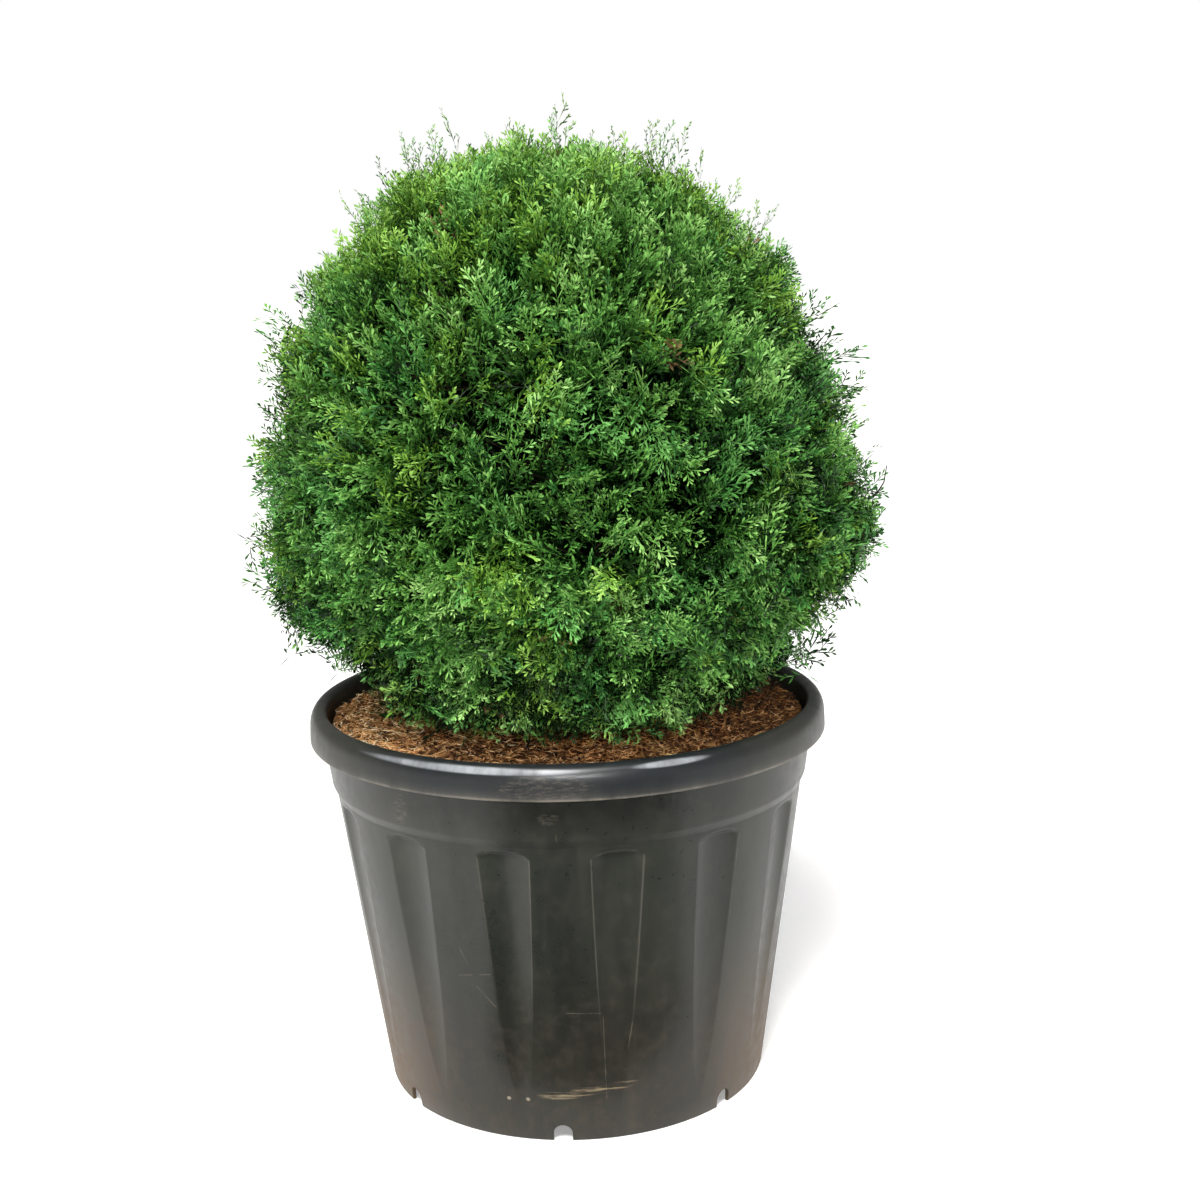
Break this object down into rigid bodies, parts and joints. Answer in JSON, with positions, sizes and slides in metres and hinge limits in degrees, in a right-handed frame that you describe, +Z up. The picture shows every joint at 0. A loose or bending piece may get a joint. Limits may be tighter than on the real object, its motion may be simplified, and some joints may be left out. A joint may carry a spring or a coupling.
{
  "type": "potted shrub",
  "caption": "Eastern arborvitae clipped to a dense globe, in a round fluted black plastic nursery pot with bark mulch.",
  "frame": {"origin": "middle of the pot's flat underside, at ground level", "axes": "+Z up along the pot's axis, -Y towards the front"},
  "size_m": [0.7224, 0.7291, 1.122],
  "materials": {
    "pot_plastic": "dusty satin",
    "potting_mix": "crumbly",
    "bark_mulch": "shredded",
    "bark": "fibrous",
    "foliage": "matte"
  },
  "bodies": {
    "root": {"pot": "pot_plastic", "soil": "potting_mix", "mulch": "bark_mulch", "trunk": "bark", "bough_lower_1": "bark", "bough_lower_2": "bark", "bough_lower_3": "bark", "bough_lower_4": "bark", "bough_lower_5": "bark", "bough_lower_6": "bark", "bough_lower_7": "bark", "bough_upper_1": "bark", "bough_upper_2": "bark", "bough_upper_3": "bark", "bough_upper_4": "bark", "bough_upper_5": "bark", "foliage_lower_1": "foliage", "foliage_lower_2": "foliage", "foliage_lower_3": "foliage", "foliage_lower_4": "foliage", "foliage_lower_5": "foliage", "foliage_lower_6": "foliage", "foliage_lower_7": "foliage", "foliage_upper_1": "foliage", "foliage_upper_2": "foliage", "foliage_upper_3": "foliage", "foliage_upper_4": "foliage", "foliage_upper_5": "foliage", "foliage_top": "foliage"}
  },
  "joints": []
}
